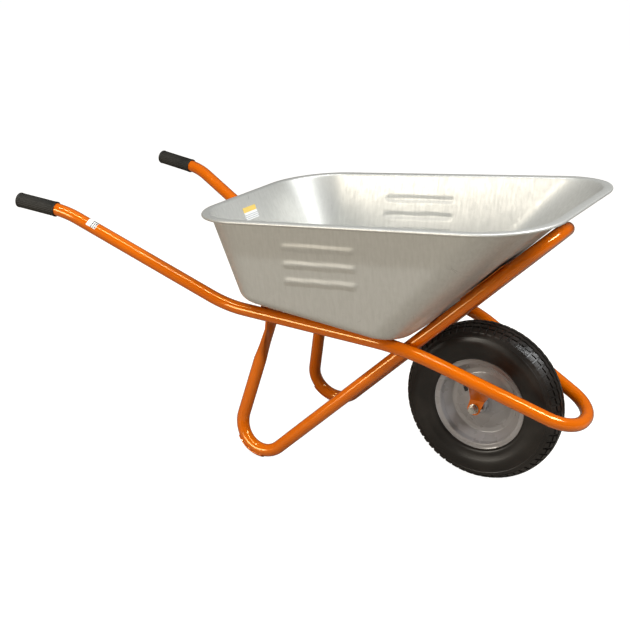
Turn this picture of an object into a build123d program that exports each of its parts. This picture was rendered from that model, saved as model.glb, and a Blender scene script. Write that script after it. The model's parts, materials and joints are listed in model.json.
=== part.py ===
from build123d import *
import math
import os

# Single-wheel barrow: bent tube frame, pressed tray and pneumatic wheel.
# Millimetres. +X is forward, towards the wheel, +Y is the user's left and +Z is up.
# The origin is on the ground, midway along the length and the width.

# ---- Driving dimensions ----------------------------------------------------
axle_x = 457.3
axle_z = 199.0

# Main tube, left half, from the handle's end to the loop in front of the wheel.
frame_tube_radius = 16.0
frame_tube_wall = 1.5
handle_end = (-717.0, 298.7, 598.4)
handle_bend = (-573.2, 284.2, 583.2)
tray_bend = (-154.2, 190.0, 383.7)
front_bend = (329.3, 177.0, 363.0)
loop_corner = (705.2, 70.05, 203.6)
handle_bend_radius = 200.0
tray_bend_radius = 220.0
front_bend_radius = 380.0
loop_radius = 86.0

# Leg tube, left half, from the flattened top of the leg to the bow's apex.
leg_blade_half = 132.0
leg_blade_width = 46.0
leg_blade_thickness = 6.0
leg_blade_bottom = 86.0
leg_blade_top = 12.0
leg_round_top = (-85.4, 148.5, 243.3)
foot_corner = (-167.0, 218.1, -120.0)
leg_knee = (355.4, 135.0, 385.9)
bow_apex = (939.5, 0.0, 951.7)
foot_radius = 67.9
leg_knee_radius = 391.0
bow_radius = 86.3

# Wear strip on the outside of each foot bend.
strip_thickness = 2.5
strip_half_angle = 50.0
strip_start = 0.31
strip_end = 0.72

# Rubber grips.
grip_length = 116.0
grip_radius = 18.5
grip_bore_radius = 16.05
grip_end_wall = 3.0
grip_bead_radius = 19.3
grip_bead_length = 4.0

# Tray: floor outline, rim outline and sheet.
sheet = 1.0
wall_inset = 1.2
floor_rear_x = -113.1
floor_front_x = 320.2
floor_rear_half = 230.0
floor_front_half = 222.0
floor_rear_radius = 66.0
floor_front_radius = 72.0
floor_z = 407.4
floor_slope = -5.0
floor_edge_radius = 28.0
rim_rear_x = -231.9
rim_front_x = 677.6
rim_rear_half = 287.6
rim_front_half = 305.8
rim_rear_radius = 154.0
rim_front_radius = 161.0
rim_z = 640.6
rim_slope = 6.0
rim_width = 21.0
rim_lip_drop = 8.0

# Cross members and the plate under the front wall.
cross_sheet = 3.0
cross_x = -60.9
cross_half = 176.0
cross_drop = 66.0
cross_chamfer_y = 22.0
cross_chamfer_z = 30.0
cross_flange = 34.0
cross_flange_half = 192.0
strap_x = 240.7
strap_width = 30.0
strap_thickness = 4.0
strap_half = 182.0
rest_plate_thickness = 2.5
rest_plate_half = 112.0
rest_plate_start = 120.0
rest_plate_end = 253.0

# Screws: M8 for the tray and the legs, M12 for the axle.
bolt_radius = 4.0
bolt_hole_radius = 4.5
bolt_head_radius = 9.0
bolt_head_height = 4.5
washer_radius = 8.0
washer_thickness = 1.6
nut_across_flats = 13.0
nut_height = 6.5
bolt_tail = 3.0
rear_tray_bolt_half = 120.0
front_tray_bolt_half = 110.0
tray_bolt_setback = 20.0
leg_bolt_drop = 38.0

axle_radius = 6.0
axle_hole_radius = 6.1
axle_head_height = 7.5
axle_across_flats = 19.0
axle_nut_hex = 8.5
axle_nut_collar_radius = 8.4
axle_nut_collar = 4.5
axle_tail = 1.2
axle_washer_radius = 12.0
axle_washer_thickness = 2.5

# Axle brackets.
bracket_sheet = 4.0
bracket_inner_y = 58.0
bracket_boss_radius = 16.5
bracket_fold_rise = 23.0
bracket_lean = 45.0
bracket_fold_rear = -10.5
bracket_fold_front = 26.0
bracket_top_rear = (13.4, 112.0)
bracket_top_front = (71.4, 84.0)

# Wheel.
tyre_section_centre = 153.5
tyre_section_radius = 45.5
cavity_centre = 152.5
cavity_radius = 40.0
carcass_inner_radius = 122.5
bead_chamfer = 3.0
bead_width = 11.0
bead_height = 10.0
bead_shoulder = 3.0
bead_crest = 4.0
bead_swell = 5.0
tube_radius = 38.5
tube_wall = 2.0
tube_lobe_radius = 14.0
tube_lobe_depth = 46.0
rim_thickness = 1.8
rim_flange_radius = 113.5
rim_seat_radius = 101.9
rim_well_radius = 83.0
rim_half_width = 31.6
rim_lip_curl = 1.6
rim_lip_rise = 2.5
rim_seat_fall = 2.1
rim_seat_lean = 0.6
rim_seat_width = 13.0
rim_joint_width = 12.0
rim_joint_gap = 0.02
rim_dish_reach = 26.0
rim_dish_depth = 13.0
rim_boss_reach = 9.0
rim_boss_depth = 21.0
rim_boss_rise = 0.5
bead_clearance = 0.5
rim_bend_radii = (2.0, 2.5, 6.0, 5.0, 6.0, 14.0, 12.0)
hub_radius = 20.0
hub_bore_radius = 14.0
hub_half_length = 42.0
seat_depth = 10.5

# Ball bearings, 12 x 32 x 10.
bearing_bore_radius = 6.02
bearing_outer_radius = 16.0
bearing_width = 10.0
bearing_pitch_radius = 11.0
bearing_inner_land = 8.8
bearing_outer_land = 13.2
groove_radius = 3.0
ball_radius = 2.7
ball_count = 7
cage_half_width = 3.4
cage_inner_radius = 10.2
cage_outer_radius = 11.8
sleeve_radius = 8.5

# Valve.
valve_angle = 138.6
valve_start_radius = 94.2
valve_lean = 33.0
valve_hole_radius = 6.1
valve_foot_radius = 6.0
valve_foot_length = 23.3
valve_stem_radius = 3.6
valve_stem_length = 27.0
valve_cap_radius = 4.6
valve_cap_length = 9.0

# Labels.
label_thickness = 0.2
label_gap = 0.02
handle_label_start = 64.0
handle_label_length = 26.5
handle_label_half_angle = 59.0
handle_label_turn = 75.0
tray_label_y = -28.0
tray_label_drop = 46.0
tray_label_width = 56.0
tray_label_height = 33.0

# Welds where the leg tube touches the main tube.
weld_radius = 11.0
weld_length = 14.0
weld_point = (326.1, 156.0, 355.4)

near_side = -1
far_side = 1
sides = (("right", near_side), ("left", far_side))


# ---- Helpers ---------------------------------------------------------------
def on_side(point, side):
    """The same point on the left (side 1) or on the right (side -1)."""
    return Vector(point[0], side * point[1], point[2])


def bent_edges(corners, radii):
    """Straight runs through the corners, joined by arcs of the given bend radii."""
    edges = []
    start = corners[0]
    for before, corner, after, radius in zip(corners, corners[1:], corners[2:], radii):
        back = (before - corner).normalized()
        ahead = (after - corner).normalized()
        half_angle = math.radians(back.get_angle(ahead)) / 2
        enter = corner + back * (radius / math.tan(half_angle))
        leave = corner + ahead * (radius / math.tan(half_angle))
        middle = corner + (back + ahead).normalized() * (radius / math.sin(half_angle) - radius)
        edges.append(Edge.make_line(start, enter))
        edges.append(Edge.make_three_point_arc(enter, middle, leave))
        start = leave
    edges.append(Edge.make_line(start, corners[-1]))
    return edges


def tube_along(edges, radius, wall):
    """Round tube that follows the edges."""
    path = Wire(edges)
    start = Plane(origin=path @ 0, z_dir=path % 0)
    return sweep(start * (Circle(radius) - Circle(radius - wall)), path=path)


def filled_along(edges, radius):
    """Solid round bar that follows the edges."""
    path = Wire(edges)
    return sweep(Plane(origin=path @ 0, z_dir=path % 0) * Circle(radius), path=path)


def rod(centre, direction, radius, length):
    """Round rod that starts at centre and runs along direction."""
    return extrude(Plane(origin=centre, z_dir=direction) * Circle(radius), amount=length)


def ring(centre, direction, outer, inner, length):
    """Round ring that starts at centre and runs along direction."""
    return extrude(Plane(origin=centre, z_dir=direction) * (Circle(outer) - Circle(inner)), amount=length)


def hexagon(centre, direction, across_flats, height):
    """Six-sided prism that starts at centre and runs along direction."""
    corner_radius = across_flats / math.sqrt(3)
    return extrude(Plane(origin=centre, z_dir=direction) * RegularPolygon(corner_radius, 6), amount=height)


def turned(profile):
    """Solid turned round the axle from a face drawn as (radius, y)."""
    drawn = Plane(origin=(axle_x, 0, axle_z), x_dir=(1, 0, 0), z_dir=(0, 0, 1)) * profile
    return revolve(drawn, axis=Axis((axle_x, 0, axle_z), (0, 1, 0)))


def rounded_outline(plane, rear_x, front_x, rear_half, front_half, rear_radius, front_radius):
    """Closed outline of the tray on a tilted plane, with its corners rounded."""
    shrink = 1 / math.cos(math.radians(plane.z_dir.get_angle(Vector(0, 0, 1))))
    rear = rear_x * shrink
    front = front_x * shrink
    shape = Polygon((rear, -rear_half), (front, -front_half), (front, front_half), (rear, rear_half),
                    align=None)
    shape = fillet(shape.vertices().group_by(Axis.X)[0], rear_radius)
    shape = fillet(shape.vertices().group_by(Axis.X)[-1], front_radius)
    return plane * shape


def sloped_plane(height, slope):
    """Plane through (0, 0, height) that rises forward by slope degrees."""
    angle = math.radians(slope)
    return Plane(origin=(0, 0, height), x_dir=(math.cos(angle), 0, math.sin(angle)),
                 z_dir=(-math.sin(angle), 0, math.cos(angle)))


floor_plane = sloped_plane(floor_z, floor_slope)
rim_plane = sloped_plane(rim_z, rim_slope)


def on_floor(distance):
    """Plane of the tray floor's underside, moved forward along its slope."""
    return Plane(origin=floor_plane.origin + floor_plane.x_dir * distance,
                 x_dir=floor_plane.x_dir, z_dir=floor_plane.z_dir)


def rod_in(plane, start, direction, radius, length):
    """Round rod whose start and direction are given in the plane's own axes."""
    origin = plane.from_local_coords(Vector(*start))
    heading = plane.from_local_coords(Vector(*start) + Vector(*direction)) - origin
    return rod(origin, heading, radius, length)


# ---- Frame -----------------------------------------------------------------
def main_tube_edges():
    """Centre line of the whole main tube, from the right handle to the left one."""
    half = (handle_end, handle_bend, tray_bend, front_bend, loop_corner)
    right = [on_side(point, near_side) for point in half]
    right[0] = right[0] + (right[1] - right[0]).normalized() * grip_end_wall
    left = [Vector(point.X, -point.Y, point.Z) for point in reversed(right)]
    radii = (handle_bend_radius, tray_bend_radius, front_bend_radius, loop_radius)
    return bent_edges(right + left, radii + tuple(reversed(radii)))


def leg_tube_edges():
    """Centre line of the leg tube's round part, from the right leg to the left one."""
    half = (leg_round_top, foot_corner, leg_knee)
    right = [on_side(point, near_side) for point in half]
    left = [on_side(point, far_side) for point in reversed(half)]
    radii = (foot_radius, leg_knee_radius, bow_radius, leg_knee_radius, foot_radius)
    return bent_edges(right + [Vector(*bow_apex)] + left, radii)


def blade_section(side, width, thickness):
    """Flattened section at the bottom of a leg's blade, as a slot across the barrow."""
    seat = on_floor(cross_x)
    bottom = Vector(leg_blade_thickness / 2, side * leg_blade_half, -leg_blade_bottom)
    centre = seat.from_local_coords(bottom)
    level = Plane(origin=centre, x_dir=(0, 1, 0), z_dir=seat.z_dir)
    return level * SlotOverall(width, thickness)


def leg_top(side):
    """Stretch where the round leg is pressed flat, and the flat blade above it."""
    low = on_side(leg_round_top, side)
    upward = (low - on_side(foot_corner, side)).normalized()
    round_end = Plane(origin=low, x_dir=(0, 1, 0), z_dir=upward)
    outer = loft([round_end * Circle(frame_tube_radius),
                  blade_section(side, leg_blade_width, leg_blade_thickness)])
    slit = leg_blade_thickness - 2 * frame_tube_wall
    inner = loft([round_end * Circle(frame_tube_radius - frame_tube_wall),
                  blade_section(side, leg_blade_width - leg_blade_thickness + slit, slit)])
    blade = extrude(blade_section(side, leg_blade_width, leg_blade_thickness),
                    amount=leg_blade_bottom - leg_blade_top)
    hole = rod_in(on_floor(cross_x), (-leg_blade_width, side * leg_blade_half, -leg_bolt_drop), (1, 0, 0),
                  bolt_hole_radius, 2 * leg_blade_width)
    return outer - inner + blade - hole


def leg_tube():
    body = tube_along(leg_tube_edges(), frame_tube_radius, frame_tube_wall)
    for _, side in sides:
        body = body + leg_top(side)
    return body


def foot_strip(side):
    """Curved plate over the outside of a foot bend, from its rear to its lowest point."""
    corners = [on_side(point, side) for point in (leg_round_top, foot_corner, leg_knee)]
    bend = bent_edges(corners, (foot_radius,))[1]
    path = Edge.make_three_point_arc(bend @ strip_start, bend @ ((strip_start + strip_end) / 2),
                                     bend @ strip_end)
    outward = ((path @ 0) - bend.arc_center).normalized()
    start = Plane(origin=path @ 0, x_dir=outward, z_dir=path % 0)
    inner = frame_tube_radius
    outer = frame_tube_radius + strip_thickness
    band = Circle(outer) - Circle(inner)
    reach = 2 * outer
    spread = reach * math.tan(math.radians(strip_half_angle))
    wedge = Polygon((0, 0), (reach, -spread), (reach, spread), align=None)
    return sweep(start * (band & wedge), path=path)


def rear_cross_member():
    """Pressed angle: an upright web with chamfered ends, and a flange under the floor."""
    seat = on_floor(cross_x)
    across = Plane(origin=seat.origin, x_dir=(0, 1, 0), z_dir=seat.x_dir)
    shoulder = cross_drop - cross_chamfer_z
    web = Polygon((cross_half, -cross_sheet), (-cross_half, -cross_sheet), (-cross_half, -shoulder),
                  (cross_chamfer_y - cross_half, -cross_drop), (cross_half - cross_chamfer_y, -cross_drop),
                  (cross_half, -shoulder), align=None)
    member = extrude(across * web, amount=-cross_sheet)
    shelf = on_floor(cross_x - cross_flange / 2)
    member = member + extrude(shelf * Rectangle(cross_flange, 2 * cross_flange_half), amount=-cross_sheet)
    for _, side in sides:
        member = member - rod_in(seat, (-tray_bolt_setback, side * rear_tray_bolt_half, -cross_drop),
                                 (0, 0, 1), bolt_hole_radius, 2 * cross_drop)
        member = member - rod_in(seat, (-cross_flange, side * leg_blade_half, -leg_bolt_drop),
                                 (1, 0, 0), bolt_hole_radius, 2 * cross_flange)
    return member


def front_cross_strap():
    """Flat bar across the tops of the two main tubes, under the tray floor."""
    seat = on_floor(strap_x)
    bar = extrude(seat * Rectangle(strap_width, 2 * strap_half), amount=-strap_thickness)
    for _, side in sides:
        bar = bar - rod_in(seat, (0, side * front_tray_bolt_half, -strap_width), (0, 0, 1),
                           bolt_hole_radius, 2 * strap_width)
    return bar


def front_wall_plate():
    """Plate across the upper side of the leg tube, behind which the tray's front wall leans."""
    knee = Vector(*leg_knee)
    rise = Vector(bow_apex[0] - knee.X, 0, bow_apex[2] - knee.Z).normalized()
    upper = Vector(-rise.Z, 0, rise.X)
    middle = (rest_plate_start + rest_plate_end) / 2
    centre = Vector(knee.X, 0, knee.Z) + rise * middle + upper * frame_tube_radius
    seat = Plane(origin=centre, x_dir=rise, z_dir=upper)
    return extrude(seat * Rectangle(rest_plate_end - rest_plate_start, 2 * rest_plate_half),
                   amount=rest_plate_thickness)


def crossing_welds(main_filled, leg_filled):
    """Weld metal that fills the gap round the point where the two tubes touch."""
    welds = []
    for _, side in sides:
        start = on_side(weld_point, side) - Vector(0, weld_length / 2, 0)
        welds.append(rod(start, (0, 1, 0), weld_radius, weld_length) - main_filled - leg_filled)
    return welds


def axle_bracket(side, main_filled):
    """Plate with an upright ear on the axle and a leaning wing, welded below the main tube."""
    middle_y = side * (bracket_inner_y + bracket_sheet / 2)
    upright = Plane(origin=(axle_x, middle_y, axle_z), x_dir=(1, 0, 0), z_dir=(0, -1, 0))
    boss = bracket_boss_radius
    ear = Circle(boss) + Polygon((-boss, 0), (boss, 0), (bracket_fold_front, bracket_fold_rise),
                                 (bracket_fold_rear, bracket_fold_rise), align=None)
    ear = ear - Circle(axle_hole_radius)
    plate = extrude(upright * ear, amount=bracket_sheet / 2, both=True)
    lean = math.radians(bracket_lean)
    outward = Vector(0, side * math.sin(lean), math.cos(lean))
    wing_plane = Plane(origin=(axle_x, middle_y, axle_z + bracket_fold_rise), x_dir=(1, 0, 0),
                       z_dir=Vector(1, 0, 0).cross(outward))
    wing = Polygon((bracket_fold_rear, 0), (bracket_fold_front, 0), bracket_top_front, bracket_top_rear,
                   align=None)
    plate = plate + extrude(wing_plane * wing, amount=bracket_sheet / 2, both=True)
    fold_start = (axle_x + bracket_fold_rear, middle_y, axle_z + bracket_fold_rise)
    plate = plate + rod(fold_start, (1, 0, 0), bracket_sheet / 2, bracket_fold_front - bracket_fold_rear)
    return plate - main_filled


def grip(side):
    """Rubber sleeve with a closed, rounded end and a bead at each end."""
    end = on_side(handle_end, side)
    along = (on_side(handle_bend, side) - end).normalized()
    body = rod(end, along, grip_radius, grip_length)
    body = body + rod(end + along * grip_end_wall, along, grip_bead_radius, grip_bead_length)
    body = body + rod(end + along * (grip_length - grip_bead_length), along, grip_bead_radius,
                      grip_bead_length)
    outer_end = body.edges().sort_by(lambda edge: (edge.center() - end).length)[0]
    body = fillet(outer_end, grip_end_wall - 0.5)
    return body - rod(end + along * grip_end_wall, along, grip_bore_radius, grip_length)


def handle_label():
    """Thin label round the upper, outer side of the right handle."""
    start = on_side(handle_bend, near_side)
    along = (on_side(tray_bend, near_side) - start).normalized()
    outward = along.cross(Vector(0, 0, 1)).normalized()
    facing = outward.rotate(Axis((0, 0, 0), along), -handle_label_turn)
    plane = Plane(origin=start + along * handle_label_start, x_dir=facing, z_dir=along)
    inner = frame_tube_radius + label_gap
    reach = 2 * inner
    spread = reach * math.tan(math.radians(handle_label_half_angle))
    wedge = Polygon((0, 0), (reach, -spread), (reach, spread), align=None)
    band = (Circle(inner + label_thickness) - Circle(inner)) & wedge
    return extrude(plane * band, amount=handle_label_length)


# ---- Tray ------------------------------------------------------------------
def tray_block(inset, lift):
    """Solid from the floor to the rim, set in from the outer walls and lifted off the floor."""
    base = Plane(origin=floor_plane.origin + floor_plane.z_dir * lift, x_dir=floor_plane.x_dir,
                 z_dir=floor_plane.z_dir)
    low = rounded_outline(base, floor_rear_x + inset, floor_front_x - inset, floor_rear_half - inset,
                          floor_front_half - inset, floor_rear_radius - inset, floor_front_radius - inset)
    block = loft([low, rim_face(rim_width + inset)], ruled=True)
    floor_face = block.faces().sort_by(Axis.Z)[0]
    return fillet(floor_face.edges(), floor_edge_radius - lift)


def rim_face(inset):
    """Face inside the rim's outer outline, set in by the inset."""
    return rounded_outline(rim_plane, rim_rear_x + inset, rim_front_x - inset, rim_rear_half - inset,
                           rim_front_half - inset, rim_rear_radius - inset, rim_front_radius - inset)


def tray():
    """Pressed sheet tray with a flat rim and a turned-down lip."""
    shell = tray_block(0, 0) - tray_block(wall_inset, sheet)
    flange = extrude(rim_face(0) - rim_face(rim_width + wall_inset), amount=-sheet)
    lip = extrude(rim_face(0) - rim_face(sheet), amount=-rim_lip_drop)
    shell = shell + flange + lip
    for plane, along, half in tray_bolt_places():
        shell = shell - rod_in(plane, (along, half, -sheet), (0, 0, 1), bolt_hole_radius, 4 * sheet)
    return shell


def tray_bolt_places():
    """Seat plane, offset along the floor and offset across it, for each tray bolt."""
    places = []
    for _, side in sides:
        places.append((on_floor(cross_x), -tray_bolt_setback, side * rear_tray_bolt_half))
        places.append((on_floor(strap_x), 0, side * front_tray_bolt_half))
    return places


def tray_label():
    """Thin label on the inner face of the rear wall."""
    low = floor_plane.from_local_coords(Vector(floor_rear_x, 0, 0))
    high = rim_plane.from_local_coords(Vector(rim_rear_x + rim_width, 0, 0))
    up_wall = (high - low).normalized()
    inward = Vector(0, 1, 0).cross(up_wall)
    corner = high + inward * (sheet + label_gap) - up_wall * tray_label_drop
    place = Plane(origin=corner + Vector(0, tray_label_y, 0), x_dir=(0, 1, 0), z_dir=inward)
    return extrude(place * Rectangle(tray_label_width, tray_label_height), amount=label_thickness)


# ---- Screws ----------------------------------------------------------------
def tray_screws():
    """Dome-headed bolts through the floor, with their washers and nuts below."""
    bolts = []
    washers = []
    nuts = []
    for plane, along, half in tray_bolt_places():
        below = cross_sheet if along else strap_thickness
        stack = below + washer_thickness + nut_height + bolt_tail
        bolt = rod_in(plane, (along, half, -stack), (0, 0, 1), bolt_radius, stack + sheet)
        head = rod_in(plane, (along, half, sheet), (0, 0, 1), bolt_head_radius, bolt_head_height)
        rim = head.edges().filter_by(GeomType.CIRCLE).sort_by(plane_axis(plane))[-1]
        bolts.append(bolt + fillet(rim, bolt_head_height - 1))
        under = plane.from_local_coords(Vector(along, half, -below))
        washers.append(ring(under, plane.z_dir * -1, washer_radius, bolt_hole_radius, washer_thickness))
        seat = under - plane.z_dir * washer_thickness
        nut = hexagon(seat, plane.z_dir * -1, nut_across_flats, nut_height)
        nuts.append(nut - rod(seat, plane.z_dir * -1, bolt_radius, nut_height))
    return bolts, washers, nuts


def plane_axis(plane):
    """Axis through the plane's origin along its normal."""
    return Axis(plane.origin, plane.z_dir)


def leg_screws():
    """Hexagon bolts that hold each leg's blade to the cross member."""
    seat = on_floor(cross_x)
    forward = seat.x_dir
    bolts = []
    washers = []
    nuts = []
    for _, side in sides:
        back = seat.from_local_coords(Vector(-cross_sheet, side * leg_blade_half, -leg_bolt_drop))
        front = seat.from_local_coords(Vector(leg_blade_thickness, side * leg_blade_half, -leg_bolt_drop))
        stack = cross_sheet + leg_blade_thickness + washer_thickness + nut_height + bolt_tail
        head = hexagon(back, forward * -1, nut_across_flats, nut_height - 1)
        bolts.append(head + rod(back, forward, bolt_radius, stack))
        washers.append(ring(front, forward, washer_radius, bolt_hole_radius, washer_thickness))
        nut_seat = front + forward * washer_thickness
        nut = hexagon(nut_seat, forward, nut_across_flats, nut_height)
        nuts.append(nut - rod(nut_seat, forward, bolt_radius, nut_height))
    return bolts, washers, nuts


# ---- Axle ------------------------------------------------------------------
def axle_point(y):
    """Point on the axle's centre line."""
    return Vector(axle_x, y, axle_z)


def axle_bolt():
    """Hexagon bolt through both brackets, its head on the left."""
    head_y = bracket_inner_y + bracket_sheet + axle_washer_thickness
    end_y = head_y + axle_nut_hex + axle_nut_collar + axle_tail
    head = hexagon(axle_point(head_y), (0, 1, 0), axle_across_flats, axle_head_height)
    return head + rod(axle_point(-end_y), (0, 1, 0), axle_radius, head_y + end_y)


def axle_nut():
    """Lock nut with a round collar, on the right."""
    seat_y = -(bracket_inner_y + bracket_sheet + axle_washer_thickness)
    nut = hexagon(axle_point(seat_y), (0, -1, 0), axle_across_flats, axle_nut_hex)
    nut = nut + rod(axle_point(seat_y - axle_nut_hex), (0, -1, 0), axle_nut_collar_radius, axle_nut_collar)
    return nut - rod(axle_point(seat_y), (0, -1, 0), axle_radius, axle_nut_hex + axle_nut_collar)


def axle_washer(side):
    start = axle_point(side * (bracket_inner_y + bracket_sheet))
    return ring(start, (0, side, 0), axle_washer_radius, axle_hole_radius, axle_washer_thickness)


def axle_spacer(side):
    """Tube between a bearing's inner ring and its bracket."""
    ring_face = hub_half_length - seat_depth + bearing_width
    return ring(axle_point(side * ring_face), (0, side, 0), sleeve_radius, axle_hole_radius,
                bracket_inner_y - ring_face)


def hub_sleeve():
    """Tube between the two inner rings."""
    half = hub_half_length - seat_depth
    return ring(axle_point(-half), (0, 1, 0), sleeve_radius, axle_hole_radius, 2 * half)


def bearing_middle(side):
    """Centre of a bearing."""
    return axle_point(side * (hub_half_length - seat_depth + bearing_width / 2))


def bearing_groove(side):
    middle = Plane(origin=bearing_middle(side), z_dir=(0, 1, 0))
    return middle * Torus(bearing_pitch_radius, groove_radius)


def bearing_inner_ring(side):
    start = bearing_middle(side) - Vector(0, bearing_width / 2, 0)
    blank = ring(start, (0, 1, 0), bearing_inner_land, bearing_bore_radius, bearing_width)
    return blank - bearing_groove(side)


def bearing_outer_ring(side):
    start = bearing_middle(side) - Vector(0, bearing_width / 2, 0)
    blank = ring(start, (0, 1, 0), bearing_outer_radius, bearing_outer_land, bearing_width)
    return blank - bearing_groove(side)


def ball_directions():
    """Directions from the axle to the balls, evenly round the bearing."""
    turn = 360 / ball_count
    return [Vector(1, 0, 0).rotate(Axis.Y, number * turn) for number in range(ball_count)]


def bearing_balls(side):
    return [Pos(*(bearing_middle(side) + direction * bearing_pitch_radius)) * Sphere(ball_radius)
            for direction in ball_directions()]


def bearing_cage(side):
    """Ring with a round pocket for each ball."""
    start = bearing_middle(side) - Vector(0, cage_half_width, 0)
    cage = ring(start, (0, 1, 0), cage_outer_radius, cage_inner_radius, 2 * cage_half_width)
    pockets = [rod(bearing_middle(side), direction, ball_radius, bearing_outer_radius)
               for direction in ball_directions()]
    return cage - pockets


# ---- Wheel -----------------------------------------------------------------
def mirrored(points, side):
    """Points of a turned profile, (radius, y), on the chosen side and still anticlockwise."""
    placed = [(radius, side * y) for radius, y in points]
    return placed if side == far_side else placed[::-1]


def rim_half(side):
    """Pressed half of the rim: flange, bead seat, well and dished disc down to the hub."""
    flange = rim_half_width
    middle = rim_thickness / 2 + rim_joint_gap
    line = [
        (rim_flange_radius, flange + rim_lip_curl),
        (rim_flange_radius - rim_lip_rise, flange),
        (rim_seat_radius, flange - rim_seat_lean),
        (rim_seat_radius - rim_seat_fall, flange - rim_seat_width),
        (rim_well_radius, middle),
        (rim_well_radius - rim_joint_width, middle),
        (hub_radius + rim_dish_reach, middle + rim_dish_depth),
        (hub_radius + rim_boss_reach, middle + rim_boss_depth),
        (hub_radius + rim_thickness / 2, middle + rim_boss_depth + rim_boss_rise),
    ]
    path = FilletPolyline(*line, radius=rim_bend_radii)
    profile = make_face(path.offset_2d(rim_thickness / 2, side=Side.BOTH, closed=True).edges())
    half = turned(profile)
    if side == far_side:
        return half
    start, heading = valve_line()
    return mirror(half, about=Plane.XZ) - rod(start, heading, valve_hole_radius, valve_foot_length)


def hub_tube():
    """Tube through the rim, bored for a bearing at each end."""
    hub = ring(axle_point(-hub_half_length), (0, 1, 0), hub_radius, hub_bore_radius, 2 * hub_half_length)
    for _, side in sides:
        seat = rod(axle_point(side * hub_half_length), (0, -side, 0), bearing_outer_radius, seat_depth)
        hub = hub - seat
    return hub


def tyre():
    """Carcass of round section with a bead on each side, open towards the rim."""
    carcass = Pos(tyre_section_centre, 0) * Circle(tyre_section_radius)
    cavity = Pos(cavity_centre, 0) * Circle(cavity_radius)
    inner_disc = Rectangle(2 * carcass_inner_radius, 4 * tyre_section_radius)
    section = carcass - cavity - inner_disc
    seat = rim_seat_radius + rim_thickness / 2 + bead_clearance
    face = rim_half_width - rim_thickness / 2 - bead_clearance
    lip = rim_flange_radius + rim_thickness
    bead = [(seat + bead_chamfer, face), (seat, face - bead_chamfer), (seat, face - bead_width),
            (seat + bead_height, face - bead_width), (carcass_inner_radius + bead_shoulder, face),
            (carcass_inner_radius + bead_crest, face + bead_swell), (lip, face + bead_crest), (lip, face)]
    for _, side in sides:
        section = section + Polygon(*mirrored(bead, side), align=None)
    return turned(section - cavity)


def inner_tube_section(radius, lobe_radius):
    """Round air space with a smaller lobe that reaches down into the rim's well."""
    lobe = Pos(cavity_centre - tube_lobe_depth, 0) * Circle(lobe_radius)
    return Pos(cavity_centre, 0) * Circle(radius) + lobe


def inner_tube():
    """Inflated rubber ring with an air space."""
    return turned(inner_tube_section(tube_radius, tube_lobe_radius)
                  - inner_tube_section(tube_radius - tube_wall, tube_lobe_radius - tube_wall))


def valve_line():
    """Start and heading of the valve, which leans out of the rim's well towards the hub."""
    angle = math.radians(valve_angle)
    outwards = Vector(math.cos(angle), 0, math.sin(angle))
    lean = math.radians(valve_lean)
    heading = outwards * -math.cos(lean) + Vector(0, -math.sin(lean), 0)
    return axle_point(0) + outwards * valve_start_radius, heading


def valve_foot():
    """Rubber foot, moulded onto the inner tube and passed through the rim."""
    start, heading = valve_line()
    tube_space = turned(inner_tube_section(tube_radius, tube_lobe_radius))
    return rod(start, heading, valve_foot_radius, valve_foot_length) - tube_space


def valve_stem():
    """Threaded metal stem that stands out of the foot."""
    start, heading = valve_line()
    return rod(start + heading * valve_foot_length, heading, valve_stem_radius, valve_stem_length)


def valve_cap():
    start, heading = valve_line()
    return rod(start + heading * (valve_foot_length + valve_stem_length), heading, valve_cap_radius,
               valve_cap_length)


# ---- Files -----------------------------------------------------------------
def save(name, *shapes):
    """Write one node as a STEP file. Several shapes become a group of separate solids."""
    solids = [solid for shape in shapes for solid in shape.solids()]
    node = solids[0] if len(solids) == 1 else Compound(children=solids)
    export_step(node, f"parts/{name}.step")


def save_frame():
    main_body = tube_along(main_tube_edges(), frame_tube_radius, frame_tube_wall)
    main_filled = filled_along(main_tube_edges(), frame_tube_radius)
    leg_body = leg_tube()
    leg_filled = filled_along(leg_tube_edges(), frame_tube_radius)
    save("main_tube", main_body)
    save("leg_tube", leg_body)
    save("crossing_welds", *crossing_welds(main_filled, leg_filled))
    save("rear_cross_member", rear_cross_member() - main_filled)
    save("front_cross_strap", front_cross_strap() - main_filled)
    save("front_wall_plate", front_wall_plate())
    for name, side in sides:
        save(f"foot_strip_{name}", foot_strip(side))
        save(f"grip_{name}", grip(side))
        save(f"axle_bracket_{name}", axle_bracket(side, main_filled))
    save("handle_label", handle_label())


def save_tray():
    save("tray", tray())
    save("tray_label", tray_label())
    bolts, washers, nuts = tray_screws()
    save("tray_bolts", *bolts)
    save("tray_washers", *washers)
    save("tray_nuts", *nuts)
    bolts, washers, nuts = leg_screws()
    save("leg_bolts", *bolts)
    save("leg_washers", *washers)
    save("leg_nuts", *nuts)


def save_axle():
    save("axle_bolt", axle_bolt())
    save("axle_nut", axle_nut())
    save("axle_washers", *[axle_washer(side) for _, side in sides])
    save("axle_spacers", *[axle_spacer(side) for _, side in sides])
    save("hub_sleeve", hub_sleeve())
    for name, side in sides:
        save(f"bearing_inner_ring_{name}", bearing_inner_ring(side))
        save(f"bearing_outer_ring_{name}", bearing_outer_ring(side))
        save(f"bearing_cage_{name}", bearing_cage(side))
        save(f"bearing_balls_{name}", *bearing_balls(side))


def save_wheel():
    save("tyre", tyre())
    save("inner_tube", inner_tube())
    save("hub_tube", hub_tube())
    for name, side in sides:
        save(f"rim_half_{name}", rim_half(side))
    save("valve_foot", valve_foot())
    save("valve_stem", valve_stem())
    save("valve_cap", valve_cap())


os.makedirs("parts", exist_ok=True)
save_frame()
save_tray()
save_axle()
save_wheel()
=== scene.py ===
import bmesh
import bpy
import json
import math
from mathutils import Matrix, Vector


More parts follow.
